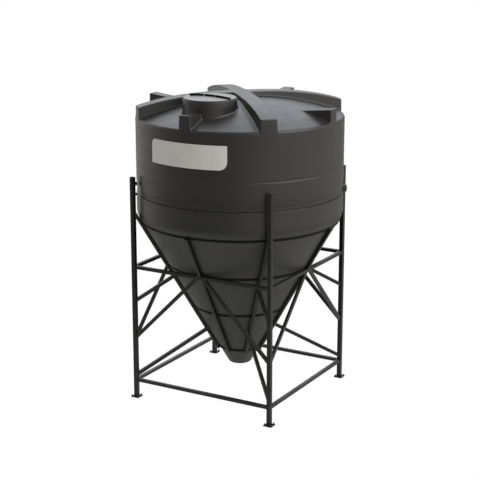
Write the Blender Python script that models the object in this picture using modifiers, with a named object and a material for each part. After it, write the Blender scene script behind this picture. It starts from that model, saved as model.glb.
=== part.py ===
# Cone bottom hopper tank on a welded box-section steel frame.
# Metres, +Z up, origin on the ground at the middle of the four feet.
# The -Y face is the front: the label plate and the manway are on that side.

import bpy
import bmesh
import math
from mathutils import Matrix, Vector

# ---------------------------------------------------------------- dimensions

STEPS = 48                 # sides of every turned piece
GAP = 0.0003               # clearance between pieces that touch

# frame
POST_AT = 0.9124           # post centre, from the tank axis along X and along Y
POST_W = 0.050             # square section of the posts
POST_TOP = 2.710
PLATE_W = 0.108            # base plate, square
PLATE_T = 0.009
RAIL_W = 0.040             # square section of rails and struts
BRACE_W = 0.042            # braces: width in the plane of their side
BRACE_D = 0.032            # and depth across it
BOTTOM_RAIL_Z = 0.2190     # centre line of the bottom rails
MIDDLE_RAIL_Z = 1.6286     # centre line of the middle rails
BRACE_FOOT_Z = 0.7477      # brace centre line where it meets the post centre
BRACE_SLOPE = math.radians(45.0)
STRUT_SLOPE = math.radians(30.0)
UPPER_STRUT_Z = 1.2070     # strut centre line where it meets the post centre
LOWER_STRUT_Z = 0.2800
RIB_W = 0.040              # square section of the cone ribs

# cone: one straight line shared by the inner faces of the ribs
CONE_SLOPE = math.radians(60.0)
RIB_LINE_R = 1.1797        # radius of the inner rib face at RIB_LINE_Z
RIB_LINE_Z = 2.1582
RING_T = 0.010             # hoop thickness, square to the cone
RING_H = 0.026             # hoop height, along the cone
RING_Z = {"cone_ring_top": 2.1582, "cone_ring_upper": 1.6250,
          "cone_ring_lower": 1.0868, "cone_ring_bottom": 0.5534}

# tank
WALL_R = 1.2225
SHELL_T = 0.010
RIM_Z = 3.3920             # where wall and roof meet, before rounding
ROOF_JOINT_Z = 3.3500      # joint between the wall and the roof moulding
CONE_JOINT_Z = 2.1582      # joint between the wall and the cone, behind the top ring
KNUCKLE_R = 0.230          # rounding between wall and cone
TIP_Z = 0.3416             # underside of the closed tip
TIP_CORNER_R = 0.035
OUTLET_R = 0.0255          # outlet hole in the tip
ROOF_TOP_Z = 3.6173        # roof surface on the axis
ROOF_RISE = 0.2257
ROOF_POWER = 2.1
RIM_CORNER_R = 0.028

STRAP_W = 0.192            # two raised straps cross on the roof
STRAP_TOP_Z = 3.6661
STRAP_DROP = 0.1342
STRAP_POWER = 2.7
LUG_W = 0.143
LUG_IN_R = 0.855
LUG_IN_Z = 3.5146
LUG_OUT_Z = 3.5563

# manway
MANWAY_Y = -0.676
LID_R = 0.3105
LID_TOP_Z = 3.684
LID_DISC_R = 0.297         # flat raised face of the lid
LID_SHOULDER_Z = 3.673     # top of the skirt round it
LID_BASE_Z = 3.6000
NECK_R = 0.310
THREAD_R = 0.285
BORE_R = 0.270
THREAD_TOP_Z = 3.6640

# bare label plate, bent to the wall
LABEL_T = 0.0025
LABEL_AZ = (-113.6, -66.6)
LABEL_Z = (2.972, 3.246)

# plain round fitting on the +X side of the wall
BOSS_AZ = 29.0
BOSS_Z = 2.511
BOSS_R = 0.0445
BOSS_OUT = 0.046          # how far it stands out of the wall
BOSS_IN = 0.022           # and how far it reaches through it

NAME = "cone_bottom_hopper_tank"

# ---------------------------------------------------------------- scene set-up

for old in list(bpy.data.objects):
    bpy.data.objects.remove(old, do_unlink=True)

parts = bpy.data.collections.new(NAME)
cutters = bpy.data.collections.new(NAME + "_cutters")
bpy.context.scene.collection.children.link(parts)
bpy.context.scene.collection.children.link(cutters)

carrier = bpy.data.objects.new(NAME + "_origin", None)
parts.objects.link(carrier)


def material(name, color, rough, metallic=0.0):
    m = bpy.data.materials.new(name)
    m.use_nodes = True
    s = m.node_tree.nodes["Principled BSDF"]
    s.inputs["Base Color"].default_value = (*color, 1.0)
    s.inputs["Roughness"].default_value = rough
    s.inputs["Metallic"].default_value = metallic
    m.diffuse_color = (*color, 1.0)
    return m


BLACK_PLASTIC = (0.032, 0.032, 0.031)
BLACK_PAINT = (0.018, 0.018, 0.018)


def place(obj, mat, parent=True):
    """Put a finished piece in the parts collection, under the origin empty."""
    for c in list(obj.users_collection):
        c.objects.unlink(obj)
    parts.objects.link(obj)
    obj.data.materials.clear()
    obj.data.materials.append(mat)
    if parent:
        obj.parent = carrier
    return obj


def as_cutter(obj):
    for c in list(obj.users_collection):
        c.objects.unlink(obj)
    cutters.objects.link(obj)
    obj.hide_render = True
    obj.display_type = "WIRE"
    return obj


def baked(obj, name):
    """A new mesh object holding obj as evaluated, in world space; obj is removed."""
    bpy.context.view_layer.update()
    dep = bpy.context.evaluated_depsgraph_get()
    mesh = bpy.data.meshes.new_from_object(obj.evaluated_get(dep))
    mesh.name = name
    mesh.transform(obj.matrix_world)
    bm = bmesh.new()
    bm.from_mesh(mesh)
    bmesh.ops.remove_doubles(bm, verts=bm.verts, dist=0.00001)
    bm.to_mesh(mesh)
    bm.free()
    bpy.data.objects.remove(obj, do_unlink=True)
    new = bpy.data.objects.new(name, mesh)
    bpy.context.scene.collection.objects.link(new)
    return new


def box(name, size, center):
    bpy.ops.mesh.primitive_cube_add(size=1.0, location=(0, 0, 0))
    o = bpy.context.active_object
    o.name = name
    o.data.transform(Matrix.Diagonal((*size, 1.0)))
    o.location = center
    return o


def cylinder(name, radius, z0, z1, x=0.0, y=0.0, sides=STEPS):
    bm = bmesh.new()
    bmesh.ops.create_cone(bm, cap_ends=True, segments=sides,
                          radius1=radius, radius2=radius, depth=z1 - z0)
    mesh = bpy.data.meshes.new(name)
    bm.to_mesh(mesh)
    bm.free()
    o = bpy.data.objects.new(name, mesh)
    o.location = (x, y, 0.5 * (z0 + z1))
    bpy.context.scene.collection.objects.link(o)
    return o


def plate(name, outline, thickness, turn=0.0):
    """A flat outline drawn in the plane of the radius and Z, given a thickness
    across that plane, and turned about the tank axis by an angle in degrees."""
    curve = bpy.data.curves.new(name, "CURVE")
    curve.dimensions = "2D"
    curve.fill_mode = "BOTH"
    curve.extrude = thickness / 2.0
    sp = curve.splines.new("POLY")
    sp.points.add(len(outline) - 1)
    for p, (r, z) in zip(sp.points, outline):
        p.co = (r, z, 0.0, 1.0)
    sp.use_cyclic_u = True
    o = bpy.data.objects.new(name, curve)
    bpy.context.scene.collection.objects.link(o)
    # curve X -> radius, curve Y -> world Z
    o.matrix_world = (Matrix.Rotation(math.radians(turn), 4, "Z")
                      @ Matrix.Rotation(math.radians(90.0), 4, "X"))
    return baked(o, name)


def turned(name, profile, thickness=None, steps=STEPS):
    """A profile in X and Z turned about the tank axis; with a thickness it is an
    open surface whose wall is added on the inside."""
    mesh = bpy.data.meshes.new(name)
    bm = bmesh.new()
    vs = [bm.verts.new((r, 0.0, z)) for r, z in profile]
    for a, b in zip(vs, vs[1:]):
        bm.edges.new((a, b))
    if thickness is None:
        bm.edges.new((vs[-1], vs[0]))
    bm.to_mesh(mesh)
    bm.free()
    o = bpy.data.objects.new(name, mesh)
    bpy.context.scene.collection.objects.link(o)
    sc = o.modifiers.new("turn", "SCREW")
    sc.axis = "Z"
    sc.angle = 2.0 * math.pi
    sc.steps = steps
    sc.render_steps = steps
    sc.use_merge_vertices = True
    sc.merge_threshold = 0.00005
    if thickness is not None:
        so = o.modifiers.new("wall", "SOLIDIFY")
        so.thickness = thickness
        so.offset = -1.0
        so.use_even_offset = True
    return o


def boolean(target, other, operation):
    m = target.modifiers.new(operation.lower(), "BOOLEAN")
    m.operation = operation
    m.solver = "EXACT"
    m.object = other
    return m


def smooth(obj, angle=30.0):
    obj.data.shade_smooth()
    obj.data.set_sharp_from_angle(angle=math.radians(angle))


def copy_turned(src, name, turn):
    """Another object with the same mesh, turned about the tank axis."""
    o = bpy.data.objects.new(name, src.data.copy())
    bpy.context.scene.collection.objects.link(o)
    o.rotation_euler = (0.0, 0.0, math.radians(turn))
    return o


def arc(cx, cz, radius, a0, a1, n):
    return [(cx + radius * math.cos(math.radians(a0 + (a1 - a0) * i / n)),
             cz + radius * math.sin(math.radians(a0 + (a1 - a0) * i / n)))
            for i in range(n + 1)]


# the cone's lines: radius at a height, moved out square to the cone by `off`
def cone_r(z, off=0.0):
    return (RIB_LINE_R + (z - RIB_LINE_Z) / math.tan(CONE_SLOPE)
            + off / math.sin(CONE_SLOPE))


def cone_z(r, off=0.0):
    return RIB_LINE_Z + (r - off / math.sin(CONE_SLOPE) - RIB_LINE_R) * math.tan(CONE_SLOPE)


SKIN_OFF = -2.0 * GAP      # cone skin, against the ribs and the hoops

half_post = POST_W / 2.0
half_rail = RAIL_W / 2.0
inner_face = POST_AT - half_post
corner_r = inner_face * math.sqrt(2.0)

# ---------------------------------------------------------------- posts and feet

POSTS = {"front_left": (-1, -1), "front_right": (1, -1),
         "back_right": (1, 1), "back_left": (-1, 1)}

for where, (sx, sy) in POSTS.items():
    post = box("post_" + where, (POST_W, POST_W, POST_TOP - 0.5 * PLATE_T),
               (sx * POST_AT, sy * POST_AT, 0.5 * (POST_TOP + 0.5 * PLATE_T)))
    foot = as_cutter(box("foot_" + where, (PLATE_W, PLATE_W, PLATE_T),
                         (sx * POST_AT, sy * POST_AT, 0.5 * PLATE_T)))
    boolean(post, foot, "UNION")
    place(post, material("post_" + where + "_paint", BLACK_PAINT, 0.45))

# ---------------------------------------------------------------- rails

SIDES = {"front": 0.0, "right": 90.0, "back": 180.0, "left": 270.0}
rail_len = 2.0 * (inner_face - GAP)

for level, z in (("bottom", BOTTOM_RAIL_Z), ("middle", MIDDLE_RAIL_Z)):
    for side, turn in SIDES.items():
        rail = box(level + "_rail_" + side, (rail_len, RAIL_W, RAIL_W), (0, 0, 0))
        rail.data.transform(Matrix.Translation((0.0, -POST_AT, z)))
        rail.rotation_euler = (0.0, 0.0, math.radians(turn))
        place(rail, material(rail.name + "_paint", BLACK_PAINT, 0.45))

# ---------------------------------------------------------------- braces
# Each side has two braces that rise from the posts to the middle of its rail.

half_v = 0.5 * BRACE_W / math.cos(BRACE_SLOPE)   # half the brace, measured upright
rail_under = MIDDLE_RAIL_Z - half_rail - GAP
post_side = inner_face - GAP


def brace_z(x, side):
    """Upper (+1) or lower (-1) edge of a brace at x from the middle of the side."""
    return BRACE_FOOT_Z + (POST_AT - x) * math.tan(BRACE_SLOPE) + side * half_v


def brace_x(z, side):
    return POST_AT - (z - side * half_v - BRACE_FOOT_Z) / math.tan(BRACE_SLOPE)


brace_outline = [(brace_x(rail_under, -1), rail_under),
                 (post_side, brace_z(post_side, -1)),
                 (post_side, brace_z(post_side, 1)),
                 (brace_x(rail_under, 1), rail_under)]

brace_right = plate("brace_shape_right", brace_outline, BRACE_D)
brace_left = plate("brace_shape_left", [(-x, z) for x, z in brace_outline], BRACE_D)
for shape, hand in ((brace_right, "right"), (brace_left, "left")):
    shape.data.transform(Matrix.Translation((0.0, -POST_AT, 0.0)))
    bm = bmesh.new()
    bm.from_mesh(shape.data)
    bmesh.ops.recalc_face_normals(bm, faces=bm.faces)
    bm.to_mesh(shape.data)
    bm.free()
    for side, turn in SIDES.items():
        o = copy_turned(shape, "brace_" + side + "_" + hand, turn)
        place(o, material(o.name + "_paint", BLACK_PAINT, 0.45))
    bpy.data.objects.remove(shape, do_unlink=True)

# ---------------------------------------------------------------- cone ribs
# Four ribs run up to the posts, and four stop level under the top hoop. They lie
# against the cone and are notched over the hoops.

rib_h = RIB_W                                     # depth square to the cone
ring_dz = 0.5 * RING_H * math.sin(CONE_SLOPE)     # half a hoop, measured upright
rib_foot_z = RING_Z["cone_ring_bottom"] - ring_dz
rib_head_z = RING_Z["cone_ring_top"] - ring_dz - 2 * GAP


def on_cone(z, off):
    """Point off the rib line by `off`, at the foot of a square cut through height z."""
    return (cone_r(z) + off * math.sin(CONE_SLOPE), z - off * math.cos(CONE_SLOPE))


def notched(names):
    """Inner edge of a rib from its head down, stepped out round each hoop, and
    open below at the bottom one."""
    line = []
    for name in names:
        hi, lo = RING_Z[name] + ring_dz + GAP, RING_Z[name] - ring_dz - GAP
        line += [(cone_r(hi), hi), (cone_r(hi, RING_T), hi),
                 (cone_r(lo, RING_T), lo), (cone_r(lo), lo)]
    hi = RING_Z["cone_ring_bottom"] + ring_dz + GAP
    return line + [(cone_r(hi), hi), (cone_r(hi, RING_T), hi), on_cone(rib_foot_z, RING_T)]


# post ribs: square cut at the foot, run into the post at the head
head_r = corner_r + 0.034
post_rib_outline = ([on_cone(rib_foot_z, rib_h),
                     (head_r, cone_z(head_r, rib_h)), (head_r, cone_z(head_r, 0.0))]
                    + notched(("cone_ring_top", "cone_ring_upper", "cone_ring_lower")))
post_rib = plate("post_rib_shape", post_rib_outline, RIB_W, turn=45.0)
post_clear = as_cutter(box("post_clearance", (POST_W + 2 * GAP, POST_W + 2 * GAP, 4.0),
                           (POST_AT, POST_AT, 2.0)))
boolean(post_rib, post_clear, "DIFFERENCE")

# side ribs: cut back where the middle rail passes
rail_in = POST_AT - half_rail - GAP
z_hi = MIDDLE_RAIL_Z + half_rail + GAP
z_lo = MIDDLE_RAIL_Z - half_rail - GAP
side_rib_outline = ([on_cone(rib_foot_z, rib_h),
                     (cone_r(z_lo, rib_h), z_lo), (rail_in, z_lo), (rail_in, z_hi),
                     (cone_r(z_hi, rib_h), z_hi),
                     (cone_r(rib_head_z, rib_h), rib_head_z), on_cone(rib_head_z, 0.0)]
                    + notched(("cone_ring_upper", "cone_ring_lower")))
side_rib = plate("side_rib_shape", side_rib_outline, RIB_W, turn=-90.0)


def keep_largest(obj):
    """Drop the offcut that a cut leaves beyond a post."""
    bm = bmesh.new()
    bm.from_mesh(obj.data)
    bm.verts.ensure_lookup_table()
    seen, groups = set(), []
    for v in bm.verts:
        if v.index in seen:
            continue
        stack, group = [v], []
        seen.add(v.index)
        while stack:
            w = stack.pop()
            group.append(w)
            for e in w.link_edges:
                u = e.other_vert(w)
                if u.index not in seen:
                    seen.add(u.index)
                    stack.append(u)
        groups.append(group)
    groups.sort(key=len)
    lowest = min(groups, key=lambda g: min(v.co.z for v in g))
    drop = [v for g in groups if g is not lowest for v in g]
    if drop:
        bmesh.ops.delete(bm, geom=drop, context="VERTS")
    bm.to_mesh(obj.data)
    bm.free()


post_rib = baked(post_rib, "post_rib_shape")
keep_largest(post_rib)
bpy.data.objects.remove(post_clear, do_unlink=True)

CORNER_TURN = {"front_left": 180.0, "front_right": 270.0,
               "back_right": 0.0, "back_left": 90.0}
for where, turn in CORNER_TURN.items():
    o = copy_turned(post_rib, "cone_rib_" + where, turn)
    place(o, material(o.name + "_paint", BLACK_PAINT, 0.45))
for side, turn in SIDES.items():
    o = copy_turned(side_rib, "cone_rib_" + side, turn)
    place(o, material(o.name + "_paint", BLACK_PAINT, 0.45))
bpy.data.objects.remove(post_rib, do_unlink=True)
bpy.data.objects.remove(side_rib, do_unlink=True)

# ---------------------------------------------------------------- struts
# Square to the cone: from each post up and in to its rib.


def strut(name, z_at_post):
    post_radius = POST_AT * math.sqrt(2.0)
    c, s = math.cos(STRUT_SLOPE), math.sin(STRUT_SLOPE)
    # distance from the post centre to the rib's outer face, along the strut
    # a point at distance t: (post_radius - t c, z + t s); rib outer face off = RIB_W
    t = 0.0
    lo, hi = 0.0, 2.0
    for _ in range(60):
        t = 0.5 * (lo + hi)
        r, z = post_radius - t * c, z_at_post + t * s
        if r > cone_r(z, RIB_W + GAP):
            lo = t
        else:
            hi = t
    out = (post_radius + 0.010, z_at_post - 0.010 * math.tan(STRUT_SLOPE))
    inn = (post_radius - t * c, z_at_post + t * s)
    nx, nz = s * half_rail, c * half_rail
    outline = [(inn[0] - nx, inn[1] - nz), (out[0] - nx, out[1] - nz),
               (out[0] + nx, out[1] + nz), (inn[0] + nx, inn[1] + nz)]
    o = plate(name, outline, RAIL_W, turn=45.0)
    clear = as_cutter(box(name + "_clearance",
                          (POST_W + 2 * GAP, POST_W + 2 * GAP, 4.0),
                          (POST_AT, POST_AT, 2.0)))
    boolean(o, clear, "DIFFERENCE")
    o = baked(o, name)
    bm = bmesh.new()
    bm.from_mesh(o.data)
    stray = [v for v in bm.verts if math.hypot(v.co.x, v.co.y) > post_radius]
    if stray:
        bmesh.ops.delete(bm, geom=stray, context="VERTS")
    bm.to_mesh(o.data)
    bm.free()
    bpy.data.objects.remove(clear, do_unlink=True)
    return o


for level, z in (("upper", UPPER_STRUT_Z), ("lower", LOWER_STRUT_Z)):
    shape = strut(level + "_strut_shape", z)
    for where, turn in CORNER_TURN.items():
        o = copy_turned(shape, level + "_strut_" + where, turn)
        place(o, material(o.name + "_paint", BLACK_PAINT, 0.45))
    bpy.data.objects.remove(shape, do_unlink=True)

# ---------------------------------------------------------------- cone rings
# Rolled flat hoops round the cone skin, in the notches of the ribs.

for name, z in RING_Z.items():
    o_off = RING_T - GAP
    i_off = -GAP
    profile = [(cone_r(z + ring_dz, o_off), z + ring_dz), (cone_r(z - ring_dz, o_off), z - ring_dz),
               (cone_r(z - ring_dz, i_off), z - ring_dz), (cone_r(z + ring_dz, i_off), z + ring_dz)]
    ring = turned(name, profile)
    place(ring, material(name + "_paint", BLACK_PAINT, 0.45))

# ---------------------------------------------------------------- tank wall

junction_z = cone_z(WALL_R, SKIN_OFF)
t = KNUCKLE_R * math.tan(math.radians(15.0))
knuckle = arc(WALL_R - KNUCKLE_R, junction_z + t, KNUCKLE_R, 0.0, -30.0, 5)
wall_profile = ([(WALL_R, ROOF_JOINT_Z - GAP),
                 (WALL_R, 2.842), (WALL_R - 0.003, 2.836),
                 (WALL_R - 0.003, 2.828), (WALL_R, 2.822),
                 (WALL_R, 2.650), (WALL_R - 0.003, 2.570), (WALL_R - 0.0095, 2.496),
                 (WALL_R - 0.0095, 2.491), (WALL_R, 2.485)]
                + knuckle
                + [(cone_r(CONE_JOINT_Z + GAP, SKIN_OFF), CONE_JOINT_Z + GAP)])
wall = turned("tank_wall", wall_profile, SHELL_T)

# round fitting, moulded to the wall
boss = cylinder("fitting", BOSS_R, 0.0, BOSS_OUT + BOSS_IN, sides=20)
reach = WALL_R + 0.5 * (BOSS_OUT - BOSS_IN)
az = math.radians(BOSS_AZ)
boss.location = (reach * math.cos(az), reach * math.sin(az), BOSS_Z)
boss.rotation_euler = (0.0, math.radians(90.0), az)
boolean(wall, as_cutter(boss), "UNION")
place(wall, material("tank_wall_plastic", BLACK_PLASTIC, 0.42))
smooth(wall)

# ---------------------------------------------------------------- tank cone

tip_r = cone_r(TIP_Z, SKIN_OFF)
tt = TIP_CORNER_R * math.tan(math.radians(30.0))
tip_arc = arc(tip_r - tt, TIP_Z + TIP_CORNER_R, TIP_CORNER_R, -30.0, -90.0, 4)
cone_profile = ([(cone_r(CONE_JOINT_Z - GAP, SKIN_OFF), CONE_JOINT_Z - GAP)]
                + tip_arc + [(OUTLET_R, TIP_Z)])
cone = turned("tank_cone", cone_profile, SHELL_T)
place(cone, material("tank_cone_plastic", BLACK_PLASTIC, 0.42))
smooth(cone)

# ---------------------------------------------------------------- tank roof


def roof_z(r):
    return ROOF_TOP_Z - ROOF_RISE * (r / 1.22) ** ROOF_POWER


def strap_z(r):
    return STRAP_TOP_Z - STRAP_DROP * (r / 1.22) ** STRAP_POWER


def dome(name, inset, floor_z):
    """Solid under the roof surface, moved in by `inset`."""
    edge = WALL_R - inset
    rc = max(RIM_CORNER_R - inset, 0.010)
    top = [(0.0, roof_z(0.0) - inset)]
    n = 7
    r_end = edge - rc
    for i in range(1, n + 1):
        r = r_end * i / n
        top.append((r, roof_z(r) - inset))
    z_end = roof_z(r_end) - inset
    corner = [(edge - rc + rc * math.sin(math.radians(a)),
               z_end - rc + rc * math.cos(math.radians(a))) for a in (40.0, 65.0, 90.0)]
    prof = top + corner + [(edge, floor_z), (0.0, floor_z)]
    mesh = bpy.data.meshes.new(name)
    bm = bmesh.new()
    vs = [bm.verts.new((r, 0.0, z)) for r, z in prof]
    for a, b in zip(vs, vs[1:]):
        bm.edges.new((a, b))
    bm.to_mesh(mesh)
    bm.free()
    o = bpy.data.objects.new(name, mesh)
    bpy.context.scene.collection.objects.link(o)
    sc = o.modifiers.new("turn", "SCREW")
    sc.axis = "Z"
    sc.steps = STEPS
    sc.render_steps = STEPS
    sc.use_merge_vertices = True
    sc.merge_threshold = 0.00005
    return baked(o, name)


def strap(name, inset, floor_z, turn, lower=0.0):
    """A raised band across the whole roof; one of the two sits a hair lower, so
    that their tops don't share a surface where they cross."""
    n = 12
    half = WALL_R + 0.02
    outline = []
    for i in range(n + 1):
        r = -half + 2.0 * half * i / n
        outline.append((r, strap_z(abs(r)) - inset - lower))
    outline += [(half, floor_z), (-half, floor_z)]
    return plate(name, outline, STRAP_W - 2.0 * inset, turn=turn)


def lug(name, inset, floor_z, turn):
    outline = [(LUG_IN_R - 0.12, LUG_IN_Z - 0.060), (LUG_IN_R, LUG_IN_Z - inset),
               (WALL_R + 0.02, LUG_OUT_Z - inset), (WALL_R + 0.02, floor_z),
               (LUG_IN_R - 0.12, floor_z)]
    return plate(name, outline, LUG_W - 2.0 * inset, turn=turn)


def faced_out(obj):
    bm = bmesh.new()
    bm.from_mesh(obj.data)
    bmesh.ops.recalc_face_normals(bm, faces=bm.faces)
    bm.to_mesh(obj.data)
    bm.free()
    return obj


def moulding(name, inset, floor_z):
    """Roof surface with its straps and lugs, as one solid."""
    body = dome(name, inset, floor_z)
    trim = cylinder(name + "_trim", WALL_R - inset - 0.0012,
                    floor_z - 0.5, ROOF_TOP_Z + 0.5)
    pieces = [strap(name + "_strap_a", inset, floor_z + 0.004, 45.0),
              strap(name + "_strap_b", inset, floor_z + 0.006, 135.0, 0.0015)]
    for i in range(4):
        pieces.append(lug(name + "_lug_%d" % i, inset, floor_z + 0.008, 90.0 * i))
    trimmed = []
    for p in pieces:
        faced_out(p)
        boolean(p, trim, "INTERSECT")
        trimmed.append(baked(p, p.name))
    for p in reversed(trimmed):
        boolean(body, p, "UNION")
        body = baked(body, name)
        bpy.data.objects.remove(p, do_unlink=True)
    bpy.data.objects.remove(trim, do_unlink=True)
    return body


roof = moulding("tank_roof", 0.0, ROOF_JOINT_Z)
inside = as_cutter(moulding("roof_inside", SHELL_T, ROOF_JOINT_Z - 0.05))
opening = as_cutter(cylinder("manway_opening", NECK_R + GAP, 3.30, 3.80, y=MANWAY_Y, sides=32))
boolean(roof, inside, "DIFFERENCE")
boolean(roof, opening, "DIFFERENCE")
place(roof, material("tank_roof_plastic", BLACK_PLASTIC, 0.42))
smooth(roof, 40.0)

# ---------------------------------------------------------------- manway neck
# An upright collar set in the roof, cut off below along the dome's inner face.

neck = cylinder("manway_neck", NECK_R, 3.40, LID_BASE_Z - GAP, y=MANWAY_Y, sides=32)
thread = as_cutter(cylinder("thread", THREAD_R, 3.41, THREAD_TOP_Z, y=MANWAY_Y, sides=32))
bore = as_cutter(cylinder("manway_bore", BORE_R, 3.30, 3.80, y=MANWAY_Y, sides=32))
boolean(neck, thread, "UNION")
boolean(neck, bore, "DIFFERENCE")
boolean(neck, inside, "DIFFERENCE")
neck = baked(neck, "manway_neck")
place(neck, material("manway_neck_plastic", BLACK_PLASTIC, 0.42))
smooth(neck, 40.0)

# ---------------------------------------------------------------- manway lid
# A cap over the neck, turned about the manway's own axis.

lid_profile = [(0.0, LID_TOP_Z), (LID_DISC_R - 0.0025, LID_TOP_Z),
               (LID_DISC_R, LID_TOP_Z - 0.0025), (LID_DISC_R, LID_SHOULDER_Z),
               (LID_R - 0.005, LID_SHOULDER_Z), (LID_R, LID_SHOULDER_Z - 0.005),
               (LID_R, LID_BASE_Z), (THREAD_R + 2 * GAP, LID_BASE_Z),
               (THREAD_R + 2 * GAP, THREAD_TOP_Z + 0.004),
               (0.0, THREAD_TOP_Z + 0.004)]
mesh = bpy.data.meshes.new("manway_lid")
bm = bmesh.new()
vs = [bm.verts.new((r, 0.0, z)) for r, z in lid_profile]
for a, b in zip(vs, vs[1:]):
    bm.edges.new((a, b))
bm.to_mesh(mesh)
bm.free()
lid = bpy.data.objects.new("manway_lid", mesh)
bpy.context.scene.collection.objects.link(lid)
sc = lid.modifiers.new("turn", "SCREW")
sc.axis = "Z"
sc.steps = 32
sc.render_steps = 32
sc.use_merge_vertices = True
sc.merge_threshold = 0.00005
lid.location = (0.0, MANWAY_Y, 0.0)
place(lid, material("manway_lid_plastic", (0.10, 0.105, 0.115), 0.38))
smooth(lid)

# ---------------------------------------------------------------- label plate

n_across = 12
mesh = bpy.data.meshes.new("label_plate")
bm = bmesh.new()
bmesh.ops.create_grid(bm, x_segments=n_across, y_segments=2, size=0.5)
label_r = WALL_R + 0.0008 + LABEL_T
for v in bm.verts:
    az = math.radians(LABEL_AZ[0] + (v.co.x + 0.5) * (LABEL_AZ[1] - LABEL_AZ[0]))
    z = LABEL_Z[0] + (v.co.y + 0.5) * (LABEL_Z[1] - LABEL_Z[0])
    v.co = Vector((label_r * math.cos(az), label_r * math.sin(az), z))
for f in bm.faces:
    f.normal_update()
    c = f.calc_center_median()
    if f.normal.dot(Vector((c.x, c.y, 0.0))) < 0.0:
        f.normal_flip()
bm.to_mesh(mesh)
bm.free()
label = bpy.data.objects.new("label_plate", mesh)
bpy.context.scene.collection.objects.link(label)
so = label.modifiers.new("sheet", "SOLIDIFY")
so.thickness = LABEL_T
so.offset = -1.0
place(label, material("label_plate_sheet", (0.50, 0.49, 0.47), 0.45))
smooth(label)
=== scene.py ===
# Cone bottom hopper tank: the looks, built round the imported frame.
# Metres, +Z up, ground at z = 0, the label and the manway towards -Y.
import bpy
import bmesh
import math
from mathutils import Matrix, Vector
from mathutils.geometry import delaunay_2d_cdt


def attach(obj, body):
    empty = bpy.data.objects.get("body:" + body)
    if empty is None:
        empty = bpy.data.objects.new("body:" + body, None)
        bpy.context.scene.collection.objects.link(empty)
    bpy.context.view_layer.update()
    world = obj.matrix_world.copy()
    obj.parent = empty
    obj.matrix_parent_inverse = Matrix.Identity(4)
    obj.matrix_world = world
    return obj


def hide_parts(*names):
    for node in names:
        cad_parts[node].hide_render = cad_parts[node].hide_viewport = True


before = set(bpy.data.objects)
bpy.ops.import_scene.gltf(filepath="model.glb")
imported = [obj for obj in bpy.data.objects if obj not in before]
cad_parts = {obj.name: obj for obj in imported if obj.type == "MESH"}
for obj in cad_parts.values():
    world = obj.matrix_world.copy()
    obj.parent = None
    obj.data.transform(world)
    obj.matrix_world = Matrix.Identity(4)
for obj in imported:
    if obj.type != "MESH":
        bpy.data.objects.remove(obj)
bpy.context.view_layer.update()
scene = bpy.context.scene
TAU = 2.0 * math.pi

# ---------------------------------------------------------------- dimensions

# frame
POST_AT = 0.9124
POST_W = 0.050
POST_TOP = 2.710
PLATE_W = 0.108
PLATE_T = 0.009
RAIL_W = 0.040
BRACE_W = 0.042            # in the plane of its side
BRACE_D = 0.032            # across it
RIB_W = 0.040
CORNER_R = 0.0028          # rounding along the edges of the box section
BOTTOM_RAIL_Z = 0.2190
MIDDLE_RAIL_Z = 1.6286
BRACE_FOOT_Z = 0.7477
UPPER_STRUT_Z = 1.2070
LOWER_STRUT_Z = 0.2800
CONE = math.radians(60.0)
RIB_LINE_R = 1.1797
RIB_LINE_Z = 2.1582
RING_T = 0.010
RING_H = 0.026
RING_Z = {"cone_ring_top": 2.1582, "cone_ring_upper": 1.6250,
          "cone_ring_lower": 1.0868, "cone_ring_bottom": 0.5534}
SKIN_OFF = -0.0006
INNER = POST_AT - POST_W / 2.0

# tank
R = 1.2225
TIP_Z = 0.3416
OUTLET_R = 0.0255
KNUCKLE_R = 0.230

# manway
MAN_Y = -0.676
LID_R = 0.3105
LID_DISC_R = 0.297
LID_TOP = 3.684
LID_SHOULDER = 3.673
LID_BASE = 3.6000


X, Y, Z = Vector((1, 0, 0)), Vector((0, 1, 0)), Vector((0, 0, 1))


def cone_r(z, off=0.0):
    return RIB_LINE_R + (z - RIB_LINE_Z) / math.tan(CONE) + off / math.sin(CONE)


def cone_z(r, off=0.0):
    return RIB_LINE_Z + (r - off / math.sin(CONE) - RIB_LINE_R) * math.tan(CONE)


def sind(a):
    return math.sin(math.radians(a))


def cosd(a):
    return math.cos(math.radians(a))


def add(name, mesh, mats, replaces=(), body="root"):
    """Put a finished mesh in the scene as a piece that rides on the body."""
    o = bpy.data.objects.new(name, mesh)
    scene.collection.objects.link(o)
    for m in mats:
        mesh.materials.append(m)
    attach(o, body)
    if replaces:
        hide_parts(*replaces)
    return o


def mesh_of(name, bm, smooth=True, sharp=None):
    bmesh.ops.recalc_face_normals(bm, faces=bm.faces)
    mesh = bpy.data.meshes.new(name)
    bm.to_mesh(mesh)
    bm.free()
    if smooth:
        mesh.shade_smooth()
        if sharp is not None:
            mesh.set_sharp_from_angle(angle=math.radians(sharp))
    return mesh

# ---------------------------------------------------------------- tank moulding
# The outer skin of the roof is a height over the plan. The plan is cut into four
# alike quarters, each between two straps. In a quarter, a and b run along the
# two straps from the axis, so that both straps' edges are lines of equal a or b.

HALF_STRAP = 0.096
CROSS_FILLET = 0.045       # rounding in plan where the straps cross
HALF_LUG = 0.0715
TOP_R = 0.011              # rounding along the top edges of straps and lugs
BASE_R = 0.018             # fillet along their feet
DRAFT = 0.005              # how far a side wall leans over its height
SIDE_R = 0.012             # upright corners where straps and lugs meet the wall
SKIRT_Z = 3.325


def roof_z(r):
    return 3.6173 - 0.2257 * (r / 1.22) ** 2.1


def strap_z(r):
    return 3.6661 - 0.1342 * (r / 1.22) ** 2.7


def lug_z(t):
    return 3.5146 + (t - 0.855) * 0.10761


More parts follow.
